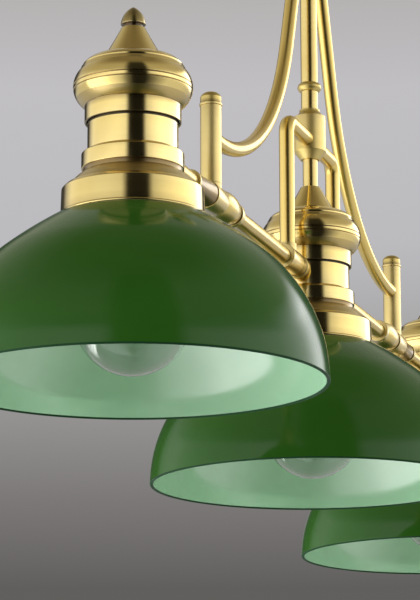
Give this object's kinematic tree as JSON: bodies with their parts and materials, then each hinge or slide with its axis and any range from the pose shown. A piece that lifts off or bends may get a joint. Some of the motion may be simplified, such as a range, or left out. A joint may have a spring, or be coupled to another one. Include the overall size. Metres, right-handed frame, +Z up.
{
  "type": "pool table lamp",
  "caption": "Hanging pool table lamp: turned brass lamp heads with green glass dome shades on a bar, with posts, sweep arms and a yoke up to the stem.",
  "frame": {"origin": "on the ceiling plane, on the axis of the canopy and stem", "axes": "+X along the bar towards the right lamp, +Z up into the ceiling"},
  "size_m": [1.31, 0.3, 0.79],
  "materials": {
    "brass": "satin, turned",
    "green_glass": "cased, deep green outside and pale mint inside",
    "bulb_glass": "clear",
    "nickel": "satin",
    "zinc_steel": "zinc plated",
    "phenolic": "moulded",
    "rubber": "matt",
    "wire_cover": "smooth"
  },
  "bodies": {
    "ceiling_mount": {"ceiling_canopy": "brass", "mounting_strap": "zinc_steel", "canopy_tube": "zinc_steel", "lock_nut": "zinc_steel", "canopy_nut": "brass"},
    "swivel": {"swivel_fork": "brass", "swivel_pin": "brass"},
    "lamp": {"skirt_left": "brass", "cap_left": "brass", "neck_left": "brass", "holder_left": "brass", "collar_left": "brass", "shade_left": "green_glass", "skirt_centre": "brass", "cap_centre": "brass", "neck_centre": "brass", "holder_centre": "brass", "collar_centre": "brass", "shade_centre": "green_glass", "skirt_right": "brass", "cap_right": "brass", "neck_right": "brass", "holder_right": "brass", "collar_right": "brass", "shade_right": "green_glass", "finial_left": "brass", "finial_right": "brass", "lamp_nipples": "zinc_steel", "shade_gaskets": "rubber", "screw_shells": "brass", "sockets": "phenolic", "shade_rings": "brass", "outer_bar_left": "brass", "mid_bar_left": "brass", "post_coupling_left": "brass", "leg_coupling_left": "brass", "post_left": "brass", "sweep_arm_left": "brass", "yoke_left": "brass", "outer_bar_right": "brass", "mid_bar_right": "brass", "post_coupling_right": "brass", "leg_coupling_right": "brass", "post_right": "brass", "sweep_arm_right": "brass", "yoke_right": "brass", "post_caps": "brass", "lower_hub": "brass", "lower_stem": "brass", "stem": "brass", "stem_ring": "brass", "upper_hub": "brass", "swivel_tongue": "brass", "lead_wires": "wire_cover"},
    "bulb_left": {"bulb_glass_left": "bulb_glass", "bulb_cap_left": "nickel"},
    "bulb_centre": {"bulb_glass_centre": "bulb_glass", "bulb_cap_centre": "nickel"},
    "bulb_right": {"bulb_glass_right": "bulb_glass", "bulb_cap_right": "nickel"}
  },
  "joints": [
    {"name": "swivel_turn", "type": "hinge", "parent": "ceiling_mount", "child": "swivel", "pos_m": [0, 0, -0.038], "axis": [0, 0, 1], "range_deg": [-170, 170]},
    {"name": "stem_tilt", "type": "hinge", "parent": "swivel", "child": "lamp", "pos_m": [0, 0, -0.052], "axis": [0, 1, 0], "range_deg": [-30, 30]},
    {"name": "bulb_left_out", "type": "slide", "parent": "lamp", "child": "bulb_left", "axis": [0, 0, -1], "range_m": [0, 0.06]},
    {"name": "bulb_centre_out", "type": "slide", "parent": "lamp", "child": "bulb_centre", "axis": [0, 0, -1], "range_m": [0, 0.06]},
    {"name": "bulb_right_out", "type": "slide", "parent": "lamp", "child": "bulb_right", "axis": [0, 0, -1], "range_m": [0, 0.06]}
  ]
}
